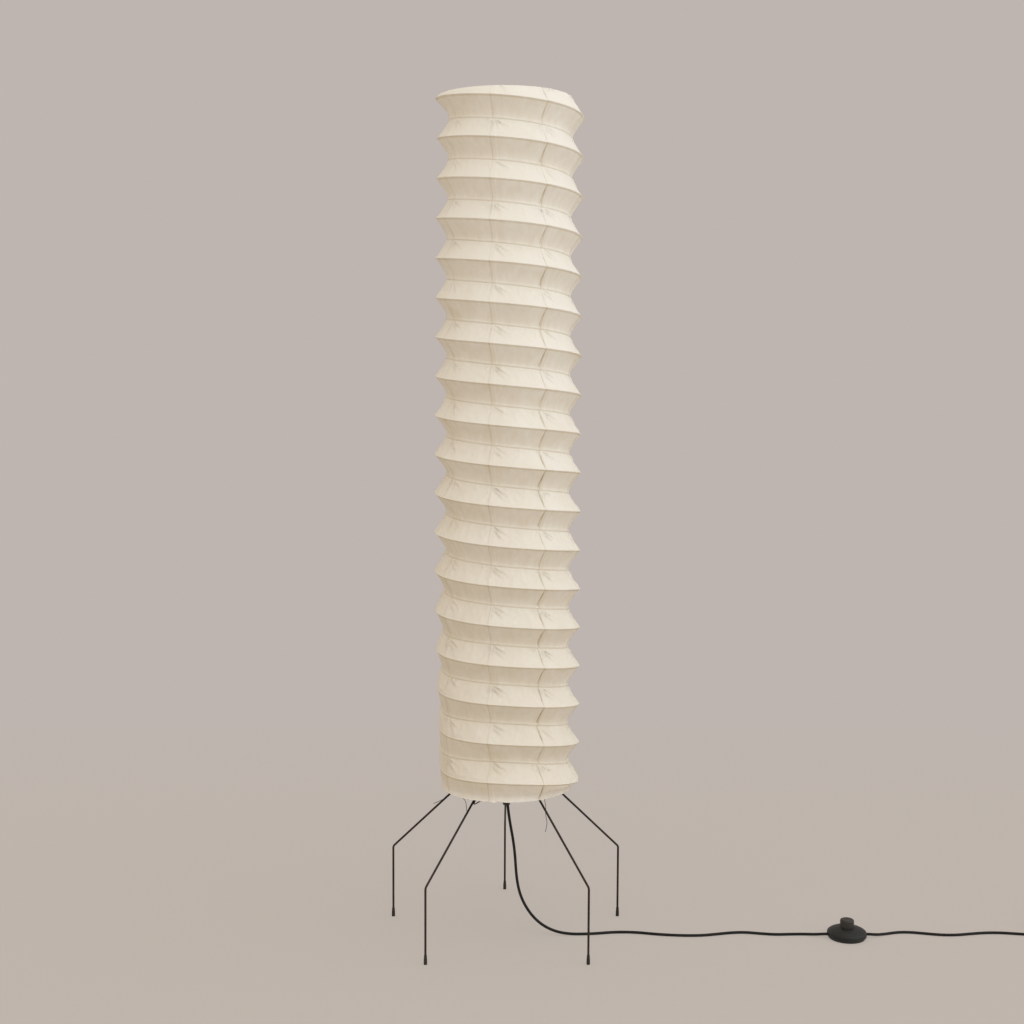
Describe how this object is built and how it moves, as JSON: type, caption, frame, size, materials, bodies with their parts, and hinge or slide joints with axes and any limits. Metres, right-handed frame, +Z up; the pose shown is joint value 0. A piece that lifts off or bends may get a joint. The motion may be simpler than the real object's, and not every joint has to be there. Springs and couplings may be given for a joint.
{
  "type": "paper lantern floor lamp",
  "caption": "Tall pleated paper column lantern on splayed bent wire legs, with a central stem, bulbs inside and an inline foot switch on its cord.",
  "frame": {"origin": "on the floor, under the axis of the stem, in the plane that the leg tips stand on", "axes": "+Z up along the stem, -Y towards the front of the lamp, +X towards the side where the cord runs"},
  "size_m": [1.3072, 0.414, 1.5462],
  "materials": {
    "paper": "matte handmade paper, ivory, with long fibres",
    "rib_wire": "thin wire pasted behind the paper",
    "ring_wire": "ivory painted wire",
    "stem_paint": "satin dark brown",
    "nut_steel": "plated",
    "cord_bush_plastic": "matte near black",
    "leg_wire": "satin dark brown",
    "hook_wire": "satin dark brown",
    "foot_rubber": "matte",
    "holder_plastic": "white thermoset",
    "contact_brass": "plain",
    "bulb_cap_metal": "rolled screw cap",
    "bulb_glass": "white coated glass",
    "switch_plastic": "satin near black",
    "button_plastic": "satin dark brown",
    "cord_sheath": "smooth soft sheath",
    "plug_plastic": "moulded",
    "plug_pin_metal": "nickel plated brass",
    "thread": "dark cotton thread"
  },
  "bodies": {
    "stand": {"bracket_lower": "stem_paint", "bracket_upper": "stem_paint", "bulb_cap_lower": "bulb_cap_metal", "bulb_cap_upper": "bulb_cap_metal", "bulb_glass_lower": "bulb_glass", "bulb_glass_upper": "bulb_glass", "cord_bush": "cord_bush_plastic", "cord_coil": "cord_sheath", "cord_drop": "cord_sheath", "cord_run": "cord_sheath", "foot_tip_1": "foot_rubber", "foot_tip_2": "foot_rubber", "foot_tip_3": "foot_rubber", "foot_tip_4": "foot_rubber", "foot_tip_5": "foot_rubber", "grub_screws": "nut_steel", "holder_cap_lower": "holder_plastic", "holder_cap_upper": "holder_plastic", "holder_contacts": "contact_brass", "holder_nipples": "nut_steel", "holder_shell_lower": "holder_plastic", "holder_shell_upper": "holder_plastic", "hub_nuts": "nut_steel", "inner_cord": "cord_sheath", "lead_lower": "cord_sheath", "lead_upper": "cord_sheath", "leg_1": "leg_wire", "leg_2": "leg_wire", "leg_3": "leg_wire", "leg_4": "leg_wire", "leg_5": "leg_wire", "leg_hub": "stem_paint", "paper_gore_1": "paper", "paper_gore_2": "paper", "paper_gore_3": "paper", "paper_gore_4": "paper", "paper_gore_5": "paper", "paper_gore_6": "paper", "paper_gore_7": "paper", "paper_gore_8": "paper", "plug_body": "plug_plastic", "plug_pins": "plug_pin_metal", "ridge_rib": "rib_wire", "ring_hooks": "hook_wire", "spreader_arms": "ring_wire", "spreader_boss": "stem_paint", "stem_tube": "stem_paint", "switch_base": "switch_plastic", "switch_contacts": "contact_brass", "switch_cover": "switch_plastic", "switch_screws": "nut_steel", "switch_spring": "nut_steel", "tie_thread_1": "thread", "tie_thread_4": "thread", "top_ring": "ring_wire", "valley_rib": "rib_wire"},
    "shade_foot": {"bottom_ring": "ring_wire", "tie_thread_2": "thread"},
    "foot_button": {"switch_button": "button_plastic"}
  },
  "joints": [
    {"name": "shade_fold", "type": "slide", "parent": "stand", "child": "shade_foot", "axis": [0, 0, 1], "range_m": [0, 1.175], "deforming": ["paper_gore_1", "paper_gore_2", "paper_gore_3", "paper_gore_4", "paper_gore_5", "paper_gore_6", "paper_gore_7", "paper_gore_8", "ridge_rib", "valley_rib"]},
    {"name": "button_press", "type": "slide", "parent": "stand", "child": "foot_button", "axis": [0, 0, -1], "range_m": [0, 0.0025], "stiffness_N_per_m": 800, "springref_m": -0.0015, "deforming": ["switch_spring"]}
  ]
}
